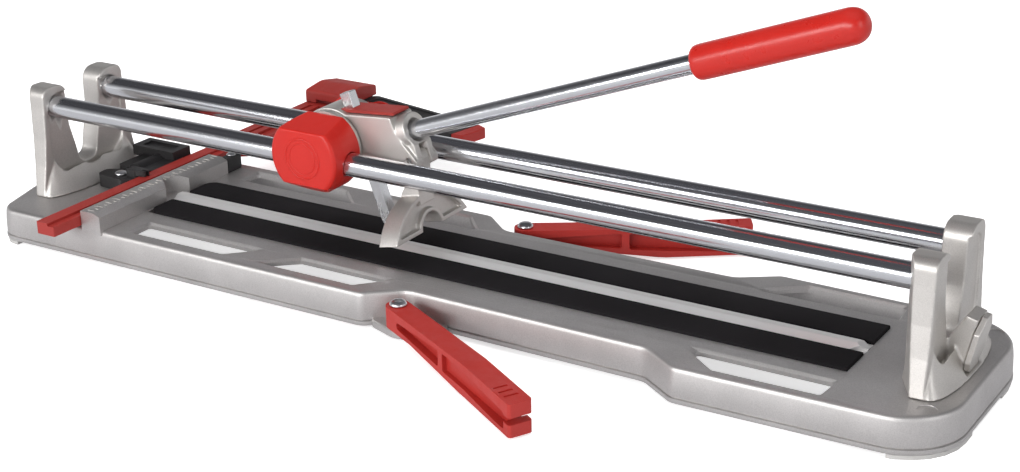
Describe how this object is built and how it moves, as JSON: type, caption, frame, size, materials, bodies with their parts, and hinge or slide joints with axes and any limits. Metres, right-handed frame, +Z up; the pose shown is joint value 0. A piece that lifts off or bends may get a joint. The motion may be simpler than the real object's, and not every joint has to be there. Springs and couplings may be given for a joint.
{
  "type": "tile cutter",
  "caption": "Manual rail tile cutter: ribbed cast base with rubber pads, chrome rails, sliding scoring and breaking lever, swing-out tile arms and a sliding stop with fence.",
  "frame": {"origin": "on the bench under the middle of the breaking ridge, halfway between the two end supports, at the centre foot's sole", "axes": "+X along the rails towards the handle side, +Y away from the scale's front end towards the fence, +Z up"},
  "size_m": [0.822, 0.4648, 0.2608],
  "materials": {
    "cast": "fine-grained cast and tumbled aluminium",
    "chrome": "polished hard chrome on steel bar",
    "steel": "bright zinc-plated steel",
    "rubber": "black sponge rubber",
    "grey_rubber": "grey rubber",
    "black_plastic": "black moulded plastic",
    "red_plastic": "red moulded plastic, fine texture",
    "grip_red": "satin red plastic",
    "bronze": "sintered bronze",
    "carbide": "ground tungsten carbide"
  },
  "bodies": {
    "frame": {"base_casting": "cast", "breaking_ridge": "cast", "pad_front": "rubber", "pad_back": "rubber", "support_left": "cast", "support_right": "cast", "badge_plate": "cast", "rail_front": "chrome", "rail_back": "chrome", "foot_front_left": "grey_rubber", "foot_front_right": "grey_rubber", "foot_back_left": "grey_rubber", "foot_back_right": "grey_rubber", "foot_centre": "grey_rubber", "bolt_left_front": "steel", "bolt_left_back": "steel", "bolt_right_front": "steel", "bolt_right_back": "steel", "arm_screw_front": "steel", "arm_screw_back": "steel", "lock_housing": "black_plastic", "lock_screw": "steel", "guide_block": "black_plastic", "guide_screw": "steel"},
    "carriage": {"carriage_front": "cast", "carriage_back": "cast", "bush_front": "bronze", "bush_back": "bronze", "cap_front": "grip_red", "cap_back": "grip_red", "pivot_pin": "steel"},
    "lever": {"lever_head": "cast", "head_insert": "red_plastic", "lever_rod": "chrome", "grip": "grip_red", "wheel_holder": "steel", "wheel_axle": "steel", "breaker_pin": "steel"},
    "wheel": {"scoring_wheel": "carbide"},
    "breaker": {"breaker": "cast"},
    "front_arm": {"arm_front": "red_plastic"},
    "back_arm": {"arm_back": "red_plastic"},
    "stop": {"stop_bar": "red_plastic", "stop_block": "red_plastic", "fence_screw": "steel"},
    "fence": {"fence_arm": "black_plastic", "fence_tip": "red_plastic"},
    "lock": {"lock_lever": "black_plastic"}
  },
  "joints": [
    {"name": "carriage_slide", "type": "slide", "parent": "frame", "child": "carriage", "axis": [1, 0, 0], "range_m": [-0.13, 0.355]},
    {"name": "lever_pivot", "type": "hinge", "parent": "carriage", "child": "lever", "pos_m": [-0.099, 0, 0.1075], "axis": [0, 1, 0], "range_deg": [-12, 12]},
    {"name": "wheel_spin", "type": "hinge", "parent": "lever", "child": "wheel", "pos_m": [-0.05766, 0, 0.04905], "axis": [0, 1, 0], "continuous": true},
    {"name": "breaker_swing", "type": "hinge", "parent": "lever", "child": "breaker", "pos_m": [-0.02896, 0, 0.10572], "axis": [0, 1, 0], "range_deg": [-12, 10]},
    {"name": "front_arm_swing", "type": "hinge", "parent": "frame", "child": "front_arm", "pos_m": [0.0097, -0.088, 0.0179], "axis": [0, 0, 1], "range_deg": [-60, 25]},
    {"name": "back_arm_swing", "type": "hinge", "parent": "frame", "child": "back_arm", "pos_m": [0.0097, 0.088, 0.0179], "axis": [0, 0, 1], "range_deg": [-28, 57]},
    {"name": "stop_slide", "type": "slide", "parent": "frame", "child": "stop", "axis": [0, 1, 0], "range_m": [-0.03, 0.1]},
    {"name": "fence_swivel", "type": "hinge", "parent": "stop", "child": "fence", "pos_m": [-0.292, 0.266, 0.0365], "axis": [0, 0, 1], "range_deg": [-24, 57]},
    {"name": "lock_turn", "type": "hinge", "parent": "frame", "child": "lock", "pos_m": [-0.333, -0.004, 0.036], "axis": [0, 0, 1], "range_deg": [-20, 20]}
  ]
}
